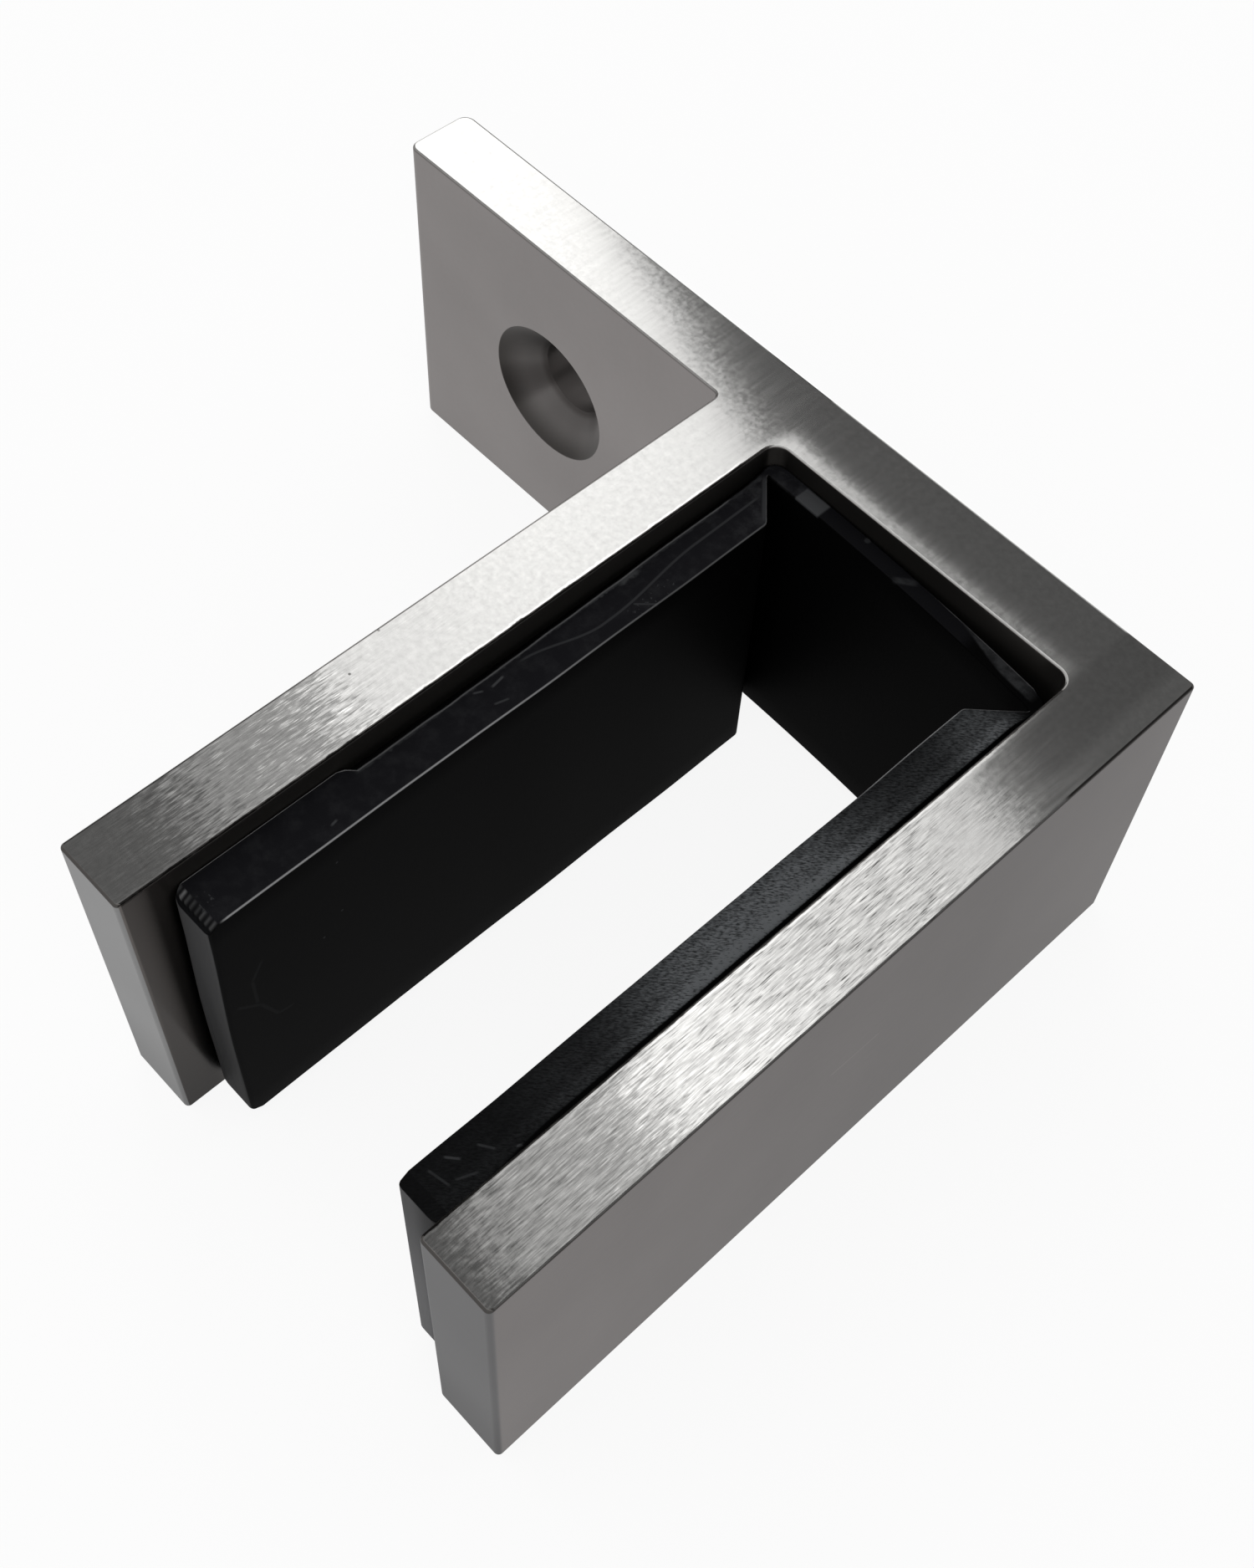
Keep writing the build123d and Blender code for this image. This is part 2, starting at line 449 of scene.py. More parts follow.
def cut_lightness(n, steel, lip):
    """Fine lines, speckle, and short dashes, bright ones to the left as painted glints and dark ones to
    the right; with painted shade and a painted highlight at the heel, a painted highlight along the right
    arm, and the lip's painted highlight.
    """
    x, y, lined, to_right = steel.x, steel.y, steel.lined, steel.to_right
    # Painted shade in the right arm's heel, turning to a painted highlight at its outer corner
    heel_shading = n.times(n.ramp(x, RIGHT_ARM_X - 0.3, RIGHT_ARM_X + 0.3), n.ramp(y, -14.0, -12.0))
    heel_shading = n.times(heel_shading, n.ramp(x, 56.0, 57.5, 1.0, -1.0))
    # Painted highlight: a band of light along the middle of the right arm
    glow = n.times(lined, to_right, n.ramp(y, -53.0, -46.0), n.ramp(y, -33.0, -40.0))
    # Painted glints: bright dashes near the tips, stronger to the left
    bright = n.times(n.ramp(steel.dashes, 0.60, 0.74), n.ramp(to_right, 0.0, 1.0, 0.9, 0.4))
    bright = n.times(bright, n.ramp(y, -40.0, -45.0), n.ramp(y, -60.0, -52.0, 0.5, 1.0))
    dark = n.times(n.ramp(steel.dashes, 0.42, 0.28), n.ramp(to_right, 0.0, 1.0, -0.15, -0.60))
    dark = n.times(dark, n.ramp(y, -54.0, -42.0, 0.25, 1.0))
    level = n.add(1.0, n.times(n.swing(steel.fine, 1.1), lined, n.ramp(to_right, 0.0, 1.0, 0.8, 1.7)))
    level = n.add(level, n.times(n.swing(steel.speck, 0.46), n.ramp(lined, 0.0, 1.0, 1.0, 0.7)))
    level = n.add(level, n.times(heel_shading, -0.13), n.times(glow, 0.15))
    level = n.add(level, n.times(n.swing(steel.coarse, 0.14), lined))
    return n.add(level, n.times(n.add(bright, dark), lined), n.times(lip, 0.35))


def channel_shading(n, x, y, z):
    """The channel's inner faces: painted shadow behind the liner, and painted shade in front of its tips,
    lighter towards the top.
    """
    deep = n.scaled(SHADOW_STEEL, n.ramp(x, LEFT_ARM_X + 0.1, LEFT_ARM_X + 1.5, 6.0, 2.4))
    open_end = n.scaled(SHADED_CHANNEL_STEEL, n.ramp(z, -14.0, 13.0, 0.36, 1.50, smooth=False))
    return n.blend(n.ramp(y, -60.5, -57.5), open_end, deep)


def steel_colour(n, steel):
    """The colour of all the steel, from the sides and the sawn faces to the hole."""
    place, x, y, z = steel.place, steel.x, steel.y, steel.z
    rim, lip = ragged_edge_shading(n, x, y, place)
    clouds = n.add(1.0, n.swing(steel.patches, 0.16), n.swing(steel.speck, 0.07))
    on_side = n.scaled(side_colour(n, x, y, z, place), clouds)
    colour = n.blend(steel.cut, on_side, n.scaled(CUT_STEEL, cut_lightness(n, steel, lip)))
    # Painted shade along the broken edges
    broken = shaded_edge_break(n, x, y, steel.facing_up, steel.in_channel)
    colour = n.blend(broken, colour, SHADED_EDGE_STEEL)
    # Painted shadow: the dark rim along the channel's ragged edges
    dark = n.times(rim, n.ramp(steel.facing_up, 0.3, 0.6))
    # Painted shade in the small pits
    for centre, radius, strength in PITS:
        dark = n.most(dark, n.times(spot(n, x, y, centre, radius), steel.cut, strength))
    colour = n.blend(n.times(dark, 0.95), colour, SHADOW_STEEL)
    # Painted shadow and shade on the channel's inner faces
    colour = n.blend(steel.in_channel, colour, channel_shading(n, x, y, z))
    return n.blend(steel.in_hole, colour, hole_shading(n, steel.from_hole, z))


def steel_material():
    """Stainless steel: sawn faces brushed along the arms, and smoother sides."""
    material, n, surface = new_material("brushed_steel")
    steel = steel_zones(n)
    add_grain(n, steel)
    n.feed(surface.inputs["Normal"], bent_normal(n, steel))
    n.feed(surface.inputs["Tangent"], steel.side)
    n.feed(surface.inputs["Base Color"], steel_colour(n, steel))
    surface.inputs["Metallic"].default_value = 1.0
    surface.inputs["Anisotropic"].default_value = 1.0
    sawn = n.times(n.ramp(steel.coarse, 0.2, 0.8, *SAWN_ROUGHNESS), steel.cut)
    elsewhere = n.ramp(steel.cut, 0.0, 1.0, SIDE_ROUGHNESS, 0.0)
    elsewhere = n.most(elsewhere, n.times(steel.in_hole, HOLE_ROUGHNESS))
    n.feed(surface.inputs["Roughness"], n.add(sawn, elsewhere))
    return material


def tip_share(n, y, normal_y):
    """1 on the pads' cut tips, which look away from the wall."""
    return n.times(n.ramp(y, LINER_LOW.y + 3.0, LINER_LOW.y + 2.6), n.ramp(normal_y, -0.75, -0.95))


def drawn(n, u, v, points, width):
    """1 along a line through several points of the (u, v) plane."""
    shares = [n.line(u, v, start, end, width) for start, end in zip(points, points[1:])]
    total = shares[0]
    for share in shares[1:]:
        total = n.most(total, share)
    return total


def pad_marks(n, x, y, field):
    """Marks on the top of the left pad, from where they are in the photograph."""
    x = n.add(x, n.ramp(y, -45.0, -10.0, 0.10, 0.55, smooth=False))
    crease_x = n.add(n.ramp(y, -16.0, -24.5, 26.9, 27.65), n.ramp(y, -25.5, -32.0, 0.0, -1.5))
    aside = n.math("ABSOLUTE", n.math("SUBTRACT", x, crease_x))
    marks = [n.times(n.ramp(aside, 0.04, 0.15, 1.0, 0.0), n.window(y, -31.8, -9.5, 0.6), 0.5)]
    uneven = n.add(x, n.swing(n.noise(field, 2.2, 2.0), 0.45))
    for start, end, width, strength in PAD_SCUFFS_AND_SHEEN:
        marks.append(n.times(n.line(uneven, y, start, end, width), strength))
    for start, end, width, strength in PAD_SCRATCHES:
        marks.append(n.times(n.line(x, y, start, end, width), strength))
    flecks = n.ramp(n.noise(field, 3.6, 1.0), 0.62, 0.70)
    behind = n.times(n.window(y, -23.5, -19.0, 1.0), n.window(x, 27.7, 28.8, 0.4))
    at_tip = n.times(n.window(y, -58.9, -57.4, 0.3), n.window(x, 26.2, 27.6, 0.3))
    marks.append(n.times(flecks, n.most(behind, at_tip), 0.6))
    haze = n.ramp(n.noise(field, 0.7, 4.0, 0.65), 0.42, 0.75)
    marks.append(n.times(haze, n.ramp(x, 31.0, 28.0), n.ramp(y, -16.0, -9.0, 0.16, 0.40)))
    return marks


def web_marks(n, x, y, field):
    """Marks on the top of the web: a pale patch to the left, and scuffs towards the right."""
    patch = n.times(n.window(x, 28.1, 30.4, 0.12), n.window(y, -7.6, -6.25, 0.12))
    scuff = n.ramp(n.noise(field, 1.1, 3.0, 0.6), 0.35, 0.60, 0.45, 1.0)
    share = n.times(n.add(x, -LEFT_ARM_X), 1 / (RIGHT_ARM_X - LEFT_ARM_X))
    rear_edge = n.add(PLATE_FRONT_Y, n.times(share, share, -RIGHT_LEG_SLIP))
    in_front = n.math("SUBTRACT", rear_edge, y)
    beside_streak = n.math("SUBTRACT", in_front, n.ramp(x, 42.0, 49.0, 0.15, 1.2))
    streak = n.ramp(beside_streak, -0.25, 0.0, 1.0, 0.0)
    streak = n.times(streak, n.window(x, 43.0, 50.9, 0.6), n.ramp(in_front, 1.7, 1.5), 0.55)
    middle = n.times(n.line(x, y, (38.0, -7.6), (39.2, -6.7), 0.40), 0.40)
    small = n.times(spot(n, x, y, (34.3, -6.5), 0.3), 0.35)
    return [patch, n.times(n.most(streak, middle), scuff), small]


def tip_marks(n, x, y):
    """Faint scuffs on the top of the right pad, near its tip."""
    marks = []
    for start, end, strength in TIP_SCUFFS:
        marks.append(n.times(n.line(x, y, start, end, TIP_SCUFF_WIDTH), strength))
    return marks


def top_marks(n, x, y, z):
    """All the marks on the liner's top."""
    field = n.joined(x, y, 0.0)
    marks = pad_marks(n, x, y, field) + web_marks(n, x, y, field) + tip_marks(n, x, y)
    total = marks[0]
    for mark in marks[1:]:
        total = n.most(total, mark)
    return n.times(total, n.ramp(z, LINER_HIGH.z - 0.3, LINER_HIGH.z - 0.1))


def face_marks(n, x, y, z):
    """Faint scratches and specks on the left pad's inner face, near its tip."""
    bent, hooked = [drawn(n, y, z, points, FACE_SCRATCH_WIDTH) for points in FACE_SCRATCHES]
    total = n.times(n.most(bent, hooked), FACE_SCRATCH_STRENGTH)
    for centre in FACE_SPECKS:
        speck = spot(n, y, z, centre, FACE_SPECK_RADIUS)
        total = n.most(total, n.times(speck, FACE_SPECK_STRENGTH))
    face_x = LEFT_ARM_X + PAD_THICKNESS
    return n.times(total, n.window(x, face_x - 0.3, face_x + 0.3, 0.05), n.ramp(z, 12.6, 12.2))


def grain_and_sheen_lightness(n, x, y):
    """How light the right pad's grained top is, partly its grain and partly painted sheen: palest half way
    along and beside the steel.
    """
    middle = n.times(n.ramp(y, -48.0, -37.0), n.ramp(y, -32.0, -20.0, 1.0, 0.0))
    base = n.add(0.03, n.ramp(y, -55.0, -49.0, 0.0, 0.06), n.ramp(y, -26.0, -20.0, 0.0, 0.05))
    along = n.add(base, n.times(middle, 0.62), n.ramp(y, -17.0, -13.0, 0.0, 0.20))
    return n.times(along, n.ramp(x, 50.5, 51.2, 1.0, 1.9), n.ramp(x, 48.8, 49.7, 0.7, 1.0))


def rubber_zones(n):
    """The point on the rubber, the way its face looks, and the right pad's grain."""
    place = n.place()
    x, y, z = n.parts(place)
    looks = n.parts(n.node("ShaderNodeNewGeometry").outputs["Normal"])
    upward = n.ramp(looks[2], 0.75, 0.95)
    right_pad = n.ramp(x, 44.0, 46.0)
    along, across = n.times(n.add(x, y), GRAIN_ALONG), n.times(n.math("SUBTRACT", x, y), GRAIN_ACROSS)
    zones = SimpleNamespace(x=x, y=y, z=z, looks=looks, upward=upward, right_pad=right_pad)
    zones.grain = n.noise(n.joined(along, across, z), 1.0, 3.0, 0.6)
    zones.grained = n.times(upward, right_pad, n.ramp(y, -9.0, -12.0))
    return zones


def tip_sheen_level(n, x, z, right_pad):
    """How light the painted reflection on the cut tips is: the left one towards its top, the right one to
    its left.
    """
    left = n.ramp(z, 12.0, -12.0, 1.20, 0.62)
    right = n.times(n.ramp(z, 12.0, -6.0, 0.66, 1.15), n.ramp(x, 49.4, 51.3, 2.7, 1.25))
    return n.ramp(right_pad, 0.0, 1.0, left, right)


def rubber_colour(n, rubber):
    """The colour of the rubber: lighter on top, darker towards the rear as painted shade, grained with
    painted sheen on the right pad, lit as a painted reflection on the cut tips, scuffed, and worn with a
    painted highlight along the edges.
    """
    x, y, z, right_pad = rubber.x, rubber.y, rubber.z, rubber.right_pad
    on_top = n.times(rubber.upward, n.ramp(x, 28.3, 29.3, 1.0, 0.6), n.ramp(right_pad, 0.0, 1.0, 1.0, 0.0))
    grain = n.ramp(rubber.grain, 0.34, 0.66, 0.25, 1.75, smooth=False)
    lightness = n.times(grain_and_sheen_lightness(n, x, y), grain)
    # Painted shade: the plain rubber darkens towards the rear of the channel
    colour = n.scaled(PLAIN_RUBBER, n.ramp(y, -50.0, -20.0, 1.0, 0.3))
    colour = n.blend(on_top, colour, TOP_RUBBER)
    # The right pad's grain, with painted sheen in its light band
    colour = n.blend(n.times(rubber.grained, lightness), colour, GRAIN_AND_SHEEN_RUBBER)
    # Painted reflection and shade on the cut tips
    on_tips = n.scaled(TIP_SHEEN_RUBBER, tip_sheen_level(n, x, z, right_pad))
    colour = n.blend(tip_share(n, y, rubber.looks[1]), colour, on_tips)
    marks = n.most(top_marks(n, x, y, z), face_marks(n, x, y, z))
    colour = n.blend(marks, colour, SCUFFED_RUBBER)
    # Wear on the edges, ribs and web, with a painted highlight along the pads' top edges
    worn = n.node("ShaderNodeAttribute", attribute_name="wear").outputs["Fac"]
    return n.blend(worn, colour, WEAR_AND_SHEEN_RUBBER)


def rubber_material():
    """Moulded black rubber: smooth on the left pad, and grained on top of the right one."""
    material, n, surface = new_material("black_rubber")
    rubber = rubber_zones(n)
    n.feed(surface.inputs["Base Color"], rubber_colour(n, rubber))
    roughness = n.ramp(rubber.grained, 0.0, 1.0, RUBBER_ROUGHNESS, GRAINED_ROUGHNESS)
    n.feed(surface.inputs["Roughness"], roughness)
    surface.inputs["Specular IOR Level"].default_value = RUBBER_SPECULAR
    relief = n.times(rubber.grain, n.ramp(rubber.grained, 0.0, 1.0, 0.15, 1.0))
    n.feed(surface.inputs["Normal"], n.bump(relief, GRAIN_DEPTH * MM))
    return material


Station = namedtuple("Station", "outer inner behind_tip bevel lean ribs worn_inner worn_outer")
FAR_FROM_TIP = 99.0


def curve(start, corner, end, count):
    """Points along a rounded corner, first and last included."""
    start, corner, end = Vector(start), Vector(corner), Vector(end)
    points = []
    for k in range(count):
        t = k / (count - 1)
        points.append(start.lerp(corner, t).lerp(corner.lerp(end, t), t))
    return points


def spread(first, last, count):
    """Points at even distances from one to the other, without the last."""
    first, last = Vector(first), Vector(last)
    return [first.lerp(last, k / count) for k in range(count)]


def smooth_step(value, low, high):
    share = min(1.0, max(0.0, (value - low) / (high - low)))
    return share * share * (3 - 2 * share)


def ripple(place, seed):
    """Slow noise of -1 to 1 along a length in millimetres."""
    return noise.noise(Vector((place * 0.13, seed, 0.5)))


def pad_distances(length):
    """Distances behind a pad's tip: close together over the bevel, then even."""
    near = [0.0, 0.0, 0.03, 0.08, 0.16, 0.26, 0.38, 0.5, 0.62, 0.74, 0.84, 0.9, 0.96, 1.1, 1.3, 1.6]
    count = 84
    return near + [1.6 + (length - 1.6) * (k + 1) / count for k in range(count - 1)]


def left_bevel(y):
    """The left pad's outer top edge is nearly whole at the tip, then steps to a wide bevel."""
    wide = LEFT_PAD_BEVEL + (LEFT_BEVEL_AT_REAR - LEFT_PAD_BEVEL) * smooth_step(y, -40.0, -10.0)
    wide += 0.05 * ripple(y * 4.0, 11.0)
    return WEB_EDGE_BEVEL + (wide - WEB_EDGE_BEVEL) * smooth_step(y, *LEFT_BEVEL_STEP)


def right_bevel(distance):
    grown = smooth_step(distance, 0.3, RIGHT_BEVEL_GROWTH)
    return WEB_EDGE_BEVEL + (RIGHT_PAD_BEVEL - WEB_EDGE_BEVEL) * grown


def pad_stations(edge_x, inward, tip_y, length):
    """One pad, from its tip to just before its mitred rear end."""
    left = inward > 0
    face_x = edge_x + inward * PAD_THICKNESS
    stations = []
    for distance in pad_distances(length):
        y = tip_y + distance
        wave = FACE_WAVE * ripple(y, edge_x) * smooth_step(distance, 0.0, 8.0)
        bevel = left_bevel(y) if left else right_bevel(distance)
        lean = LEFT_TIP_LEAN * (1.0 - smooth_step(distance, 0.5, 8.0)) if left else 0.0
        ends = Vector((edge_x, y)), Vector((face_x + wave, y))
        stations.append(Station(*ends, distance, bevel, lean, left, *edge_wear_and_sheen(left, y)))
    return stations


def fold_stations(edge_x, inward, knee, back_y, pad_bevel):
    """A pad's mitred rear end and its fold, up to where the web begins."""
    root = Vector((edge_x + inward * FOLD_THICKNESS, back_y - WEB_THICKNESS))
    step = Vector((-inward, 1.0)).normalized()
    fold_y = back_y - FOLD_OUTER_RADIUS
    before, after = knee.y - KNEE_SOFTNESS, knee.y + KNEE_SOFTNESS
    mitre_start, mitre_end = knee + step * KNEE_SOFTNESS, root - step * FOLD_ROOT_RADIUS
    root_end = root + Vector((inward * FOLD_ROOT_RADIUS, 0))
    bend_end = edge_x + inward * FOLD_OUTER_RADIUS
    inner = curve(knee - Vector((0, KNEE_SOFTNESS)), knee, mitre_start, 5)
    outer = spread((edge_x, before), (edge_x, after), 5)
    inner += spread(mitre_start, mitre_end, 10)[1:]
    outer += spread((edge_x, after), (edge_x, fold_y), 10)[1:]
    inner += curve(mitre_end, root, root_end, 8)
    outer += curve((edge_x, fold_y), (edge_x, back_y), (bend_end, back_y), 8)
    stations = []
    for k, (out, into) in enumerate(zip(outer, inner)):
        share = k / (len(outer) - 1)
        bevel = pad_bevel + (WEB_EDGE_BEVEL - pad_bevel) * smooth_step(share, 0.3, 1.0)
        mitre_wear = (0.2 if inward > 0 else 0.3) if share < 0.8 else 0.0
        stations.append(Station(out, into, FAR_FROM_TIP, bevel, 0.0, False, mitre_wear, 0.0))
    return stations


def leg_stations(edge_x, inward, tip_y, back_y):
    """One pad and its fold, from the tip to where the web begins."""
    knee_y = back_y - WEB_THICKNESS - (PAD_THICKNESS - FOLD_THICKNESS)
    stations = pad_stations(edge_x, inward, tip_y, knee_y - KNEE_SOFTNESS - tip_y)
    knee = Vector((stations[-1].inner.x, knee_y))
    return stations + fold_stations(edge_x, inward, knee, back_y, stations[-1].bevel)


def edge_wear_and_sheen(left, y):
    """How light the pad's two top edges are, worn and partly a painted highlight, at a place along it:
    inner, outer.
    """
    broken = 0.5 + 0.5 * ripple(y * 5.0, 7.0)
    if not left:
        return 0.7 * smooth_step(y, -25.0, -20.0) * (0.5 + 0.5 * broken), 0.0
    inner = 0.25 + 0.6 * (1.0 - smooth_step(y, -40.0, -20.0))
    before_step = 1.0 - smooth_step(y, *LEFT_BEVEL_STEP)
    outer = (0.30 + 0.45 * before_step) * (0.6 + 0.4 * broken)
    return inner * smooth_step(y, -59.0, -58.3), outer * smooth_step(y, -59.3, -58.7)


def web_stations(left_x, right_x):
    """The web, from fold to fold. It curves away from the back of the channel."""
    span = LINER_HIGH.x - LINER_LOW.x
    count = 56
    stations = []
    for k in range(1, count):
        share = k / count
        points = []
        for start, end in ((left_x[0], right_x[0]), (left_x[1], right_x[1])):
            x = start + (end - start) * share
            shift = RIGHT_LEG_SLIP * ((x - LINER_LOW.x) / span) ** 2
            depth = WEB_THICKNESS if len(points) else 0.0
            points.append(Vector((x, PLATE_FRONT_Y - depth - shift)))
        broken = 0.5 + 0.5 * ripple(points[0].x * 9.0, 3.0)
        streak = 0.30 * smooth_step(points[0].x, 39.0, 43.0) * broken
        stations.append(Station(*points, FAR_FROM_TIP, WEB_EDGE_BEVEL, 0.0, False, 0.0, streak))
    return stations


def liner_stations():
    """The whole liner, from the left tip round to the right tip."""
    right_tip = LINER_LOW.y
    left = leg_stations(LINER_LOW.x, 1, right_tip + RIGHT_LEG_SLIP, PLATE_FRONT_Y)
    right = leg_stations(LINER_HIGH.x, -1, right_tip, PLATE_FRONT_Y - RIGHT_LEG_SLIP)
    starts = left[-1].outer.x, left[-1].inner.x
    ends = right[-1].outer.x, right[-1].inner.x
    return left + web_stations(starts, ends) + right[::-1]


def rounding(distance, radius):
    """How far a rounded edge stands back, that far behind the tip."""
    if distance >= radius:
        return 0.0
    return radius - math.sqrt(radius ** 2 - (radius - distance) ** 2)


def ring(start, end, low, high, bevel):
    """The liner's section, as (across, height, worn edge) with the two outer edges bevelled."""
    radius = min(RUBBER_EDGE_RADIUS, (end - start - bevel) * 0.4)
    small = min(RUBBER_EDGE_RADIUS, bevel * 0.35)
    corners = [
        ((start + bevel, low), small, 6, None),
        ((end, low), radius, 12, None),
        ((end, high), radius, 44, "inner"),
        ((start + bevel, high), small, 3, "outer"),
        ((start, high - bevel), small, 6, None),
        ((start, low + bevel), small, 3, None),
    ]
    points = []
    size = len(corners)
    for index, (corner, cut, count, edge) in enumerate(corners):
        here = Vector(corner)
        before, after = Vector(corners[index - 1][0]), Vector(corners[(index + 1) % size][0])
        next_cut = corners[(index + 1) % size][1]
        start_point = here + (before - here).normalized() * cut
        end_point = here + (after - here).normalized() * cut
        arc = curve(start_point, here, end_point, 4)
        points += [(p.x, p.y, edge if k in (1, 2) else None) for k, p in enumerate(arc)]
        goal = after + (here - after).normalized() * next_cut
        points += [(p.x, p.y, None) for p in spread(end_point, goal, count)[1:]]
    return points


def rib(across, behind_tip):
    """The small ribs across the bevel at the left pad's tip: 0 between them, 1 on their crests."""
    on_bevel = smooth_step(behind_tip, 0.26, 0.38) * (1.0 - smooth_step(behind_tip, 0.80, 0.90))
    uneven = 0.7 + 0.9 * noise.noise(Vector((across * 1.7, 4.0, 2.0)))
    return on_bevel * uneven * (0.5 - 0.5 * math.cos(2 * math.pi * across / RIB_PITCH)) ** 1.5


def rib_wear(across):
    """The ribs are worn lightest at the pad's outer corner, and again at the inner one."""
    outer = math.exp(-((across - 0.75) / 0.35) ** 2)
    inner = smooth_step(across, 2.8, 3.5)
    return 0.12 + 0.42 * outer + 0.10 * inner


def station_ring(station, inset):
    """The section at one station, as points in millimetres and how worn each is."""
    span = station.inner - station.outer
    width = span.length
    direction = span / width
    behind = station.behind_tip
    drop = max(0.0, PAD_TIP_BEVEL - behind) * TIP_BEVEL_SLOPE + inset
    bevel = min(station.bevel, behind + WEB_EDGE_BEVEL)
    start = rounding(behind, TIP_OUTER_RADIUS) + inset
    end = width - rounding(behind, TIP_INNER_RADIUS) - inset
    low, high = LINER_LOW.z + drop, LINER_HIGH.z - drop
    edge_worn = {"inner": station.worn_inner, "outer": station.worn_outer, None: 0.0}
    found = []
    for across, height, edge in ring(start, end, low, high, bevel):
        point = station.outer + direction * across
        on_top = height > high - 0.01
        crest = rib(across, behind) if on_top and station.ribs else 0.0
        worn = max(edge_worn[edge] if height > 0 else 0.0, crest * rib_wear(across))
        lean = station.lean * (smooth_step(height, -4.0, LINER_HIGH.z) - 0.25)
        raised = crest * RIB_HEIGHT
        found.append((Vector((point.x, point.y + lean - raised * 0.6, height + raised * 0.8)), worn))
    return found


def make_liner():
    """The folded liner as one closed mesh."""
    stations = liner_stations()
    vertices, wear, rings = [], [], []
    last = len(stations) - 1
    for index, station in enumerate(stations):
        inset = 0.3 if index in (0, last) else 0.0
        row = []
        for point, worn in station_ring(station, inset):
            row.append(len(vertices))
            vertices.append(point * MM)
            wear.append(worn)
        rings.append(row)
    size = len(rings[0])
    faces = []
    for first, second in zip(rings, rings[1:]):
        for k in range(size):
            j = (k + 1) % size
            faces.append((first[k], first[j], second[j], second[k]))
    faces.append(tuple(reversed(rings[0])))
    faces.append(tuple(rings[-1]))
    mesh = bpy.data.meshes.new("folded_liner")
    mesh.from_pydata(vertices, [], faces)
    mesh.attributes.new("wear", "FLOAT", "POINT").data.foreach_set("value", wear)
    mesh.polygons.foreach_set("use_smooth", [True] * len(mesh.polygons))
    mesh.update()
    return mesh


def add_liner():
    mesh = make_liner()
    liner = bpy.data.objects.new("folded_liner", mesh)
    bpy.context.scene.collection.objects.link(liner)
    mesh.materials.append(rubber_material())
    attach(liner, "root")
    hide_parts("rubber_liner")


def dress_steel():
    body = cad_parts["bracket_body"]
    body.data.materials.clear()
    body.data.materials.append(steel_material())


def add_camera():
    data = bpy.data.cameras.new("camera")
    data.lens = CAMERA_LENS
    data.shift_x, data.shift_y = CAMERA_SHIFT
    data.clip_start = 0.005
    camera = bpy.data.objects.new("camera", data)
    gaze = Vector(CAMERA_AIM) - Vector(CAMERA_AT)
    roll = Quaternion((0, 0, 1), math.radians(CAMERA_ROLL))
    camera.rotation_mode = "QUATERNION"
    camera.rotation_quaternion = gaze.to_track_quat("-Z", "Y") @ roll
    camera.location = Vector(CAMERA_AT) * MM
    bpy.context.scene.collection.objects.link(camera)
    bpy.context.scene.camera = camera


def add_floor():
    """A pale floor, a little whiter to the camera and in reflections than it is lit."""
    mesh = bpy.data.meshes.new("floor")
    turns = (-1, -1), (1, -1), (1, 1), (-1, 1)
    corners = [(FLOOR_REACH * across, FLOOR_REACH * along, BODY_LOW.z * MM) for across, along in turns]
    mesh.from_pydata(corners, [], [(0, 1, 2, 3)])
    floor = bpy.data.objects.new("floor", mesh)
    bpy.context.scene.collection.objects.link(floor)
    material, n, surface = new_material("floor")
    surface.inputs["Base Color"].default_value = FLOOR_GREY
    surface.inputs["Roughness"].default_value = FLOOR_ROUGHNESS
    surface.inputs["Specular IOR Level"].default_value = 0.0
    rays = n.node("ShaderNodeLightPath").outputs
    seen = n.most(rays["Is Camera Ray"], n.most(rays["Is Glossy Ray"], rays["Is Transmission Ray"]))
    white = n.node("ShaderNodeEmission", {"Color": (1, 1, 1, 1), "Strength": 1.0})
    inputs = {0: n.times(seen, FLOOR_WHITENESS), 1: surface.outputs[0], 2: white.outputs[0]}
    mixed = n.node("ShaderNodeMixShader", inputs)
    output = next(node for node in n.tree.nodes if node.type == "OUTPUT_MATERIAL")
    n.feed(output.inputs["Surface"], mixed.outputs[0])
    mesh.materials.append(material)


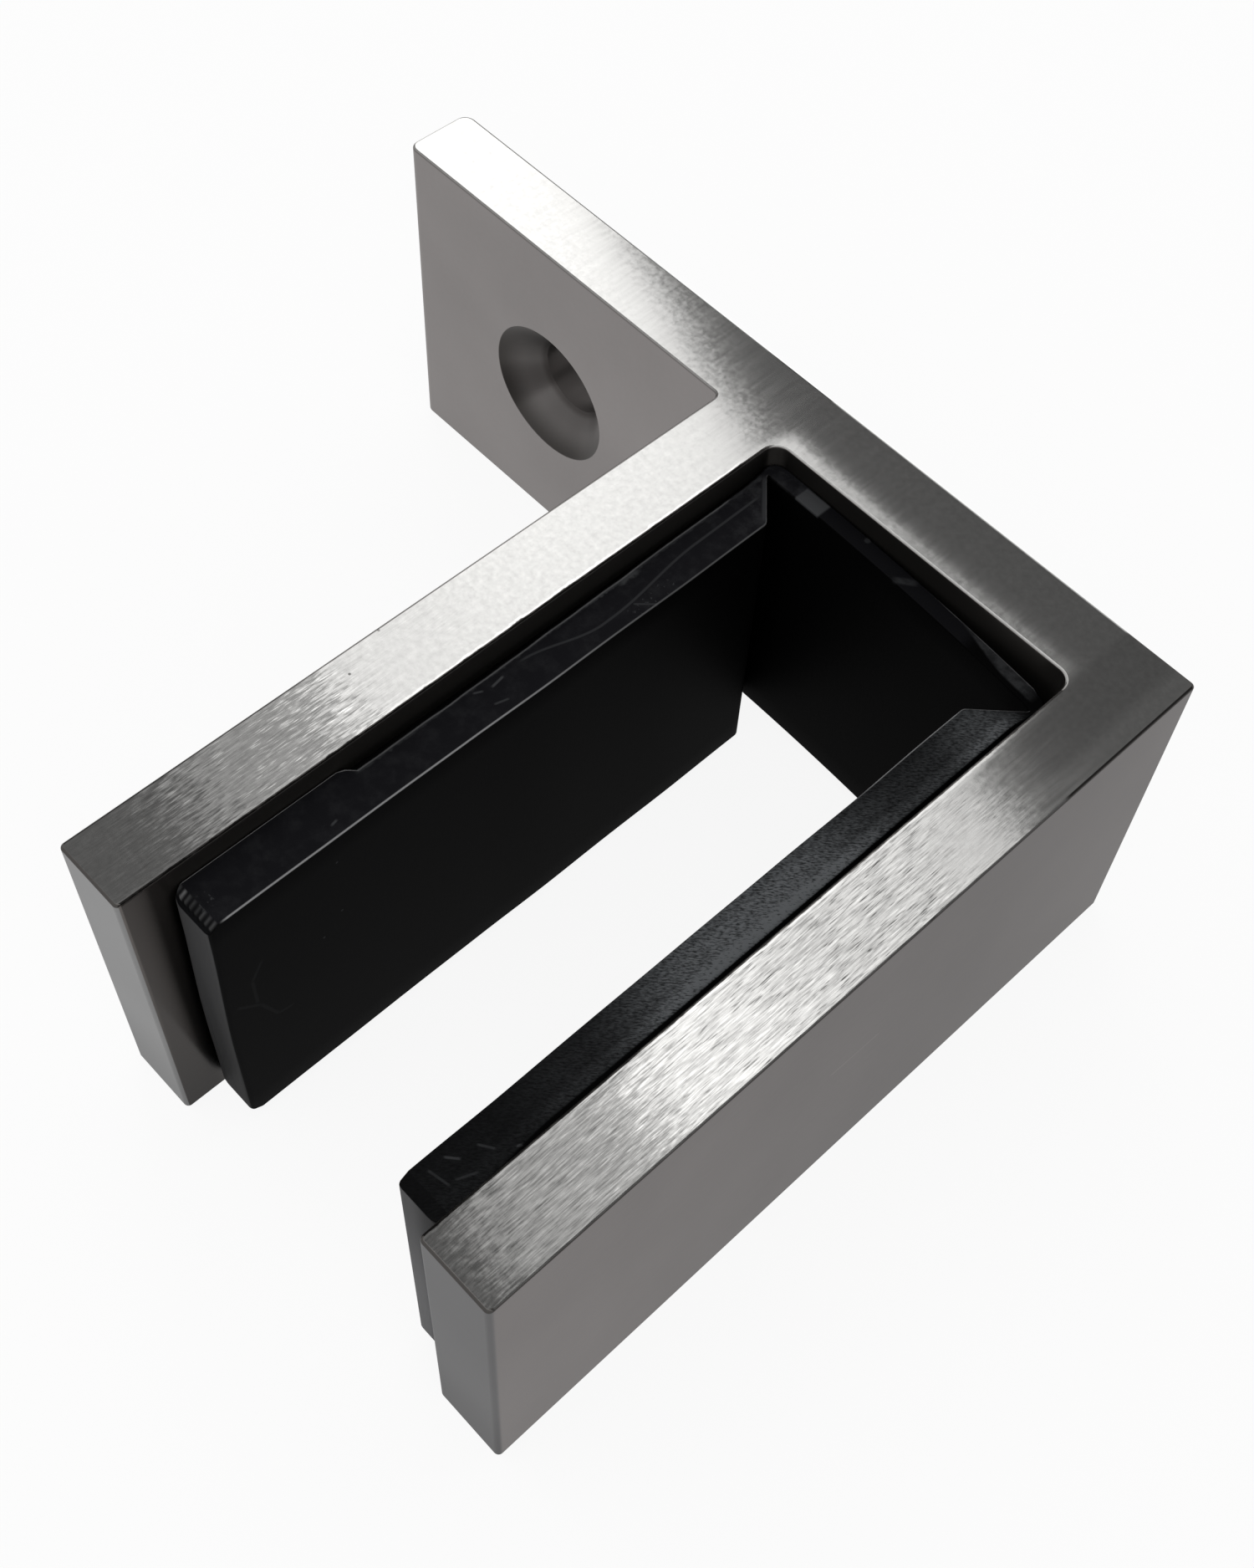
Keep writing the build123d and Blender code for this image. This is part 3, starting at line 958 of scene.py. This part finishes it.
def strip_light(n, x, y):
    """A long strip behind the object. It is brighter to the left, and its foot is dimmer."""
    low_part = n.ramp(y, 0.33, 0.43)
    high_part = n.math("SUBTRACT", 1.0, low_part)
    far_edge = n.ramp(x, -0.43, -0.25, 0.520, 0.505)
    past_edge = n.ramp(n.math("SUBTRACT", y, far_edge), -0.008, 0.008)
    strip = n.times(n.ramp(y, 0.290, 0.310), n.math("SUBTRACT", 1.0, past_edge))
    near_level = n.ramp(x, -0.47, -0.25, 1.95, 1.88)
    far_level = n.add(n.ramp(x, -0.47, -0.25, 2.20, 1.40), n.ramp(x, -0.57, -0.49, 0.9, 0.0))
    strip_level = n.add(n.times(near_level, high_part), n.times(far_level, low_part))
    near_edge = n.ramp(x, -0.50, -0.26, 0.224, 0.202)
    foot = n.ramp(n.math("SUBTRACT", y, near_edge), -0.012, 0.012)
    foot = n.times(foot, n.ramp(y, 0.290, 0.310, 1.0, 0.0))
    foot_level = n.times(n.ramp(x, -0.5, -0.26, 0.40, 0.78), n.ramp(y, 0.20, 0.29, 0.9, 1.2))
    reach = n.ramp(x, 0.12, 0.30, 1.0, 0.0)
    return n.times(strip, strip_level, reach), n.times(foot, foot_level, reach)


def light_studio():
    """A soft studio sky: pale in front, overhead and far behind, with a strip of light."""
    world = bpy.data.worlds.new("studio")
    world.use_nodes = True
    bpy.context.scene.world = world
    n = Nodes(world.node_tree)
    x, y, z = n.parts(n.node("ShaderNodeTexCoord").outputs["Generated"])
    front = n.ramp(y, 0.04, 0.14, 1.0, 0.0)
    back = n.ramp(y, 0.64, 0.74)
    overhead = n.times(n.ramp(z, 0.86, 0.94), n.window(y, -0.12, 0.08, 0.05))
    base = n.ramp(x, -0.50, -0.42, 0.24, 0.19)
    level = n.add(base, n.times(front, 0.8), n.times(overhead, 1.2), n.times(back, 0.8))
    level = n.add(level, *strip_light(n, x, y))
    horizon = n.ramp(z, 0.10, 0.28, 1.0, 0.0)
    above = n.math("SUBTRACT", 1.0, horizon)
    level = n.add(n.times(level, above), n.times(horizon, HORIZON_LEVEL))
    background = n.node("ShaderNodeBackground", {"Color": (1, 1, 1, 1), "Strength": level})
    n.node("ShaderNodeOutputWorld", {"Surface": background.outputs[0]})


scene = bpy.context.scene
scene.view_settings.view_transform = "Standard"
add_camera()
add_floor()
light_studio()
dress_steel()
add_liner()
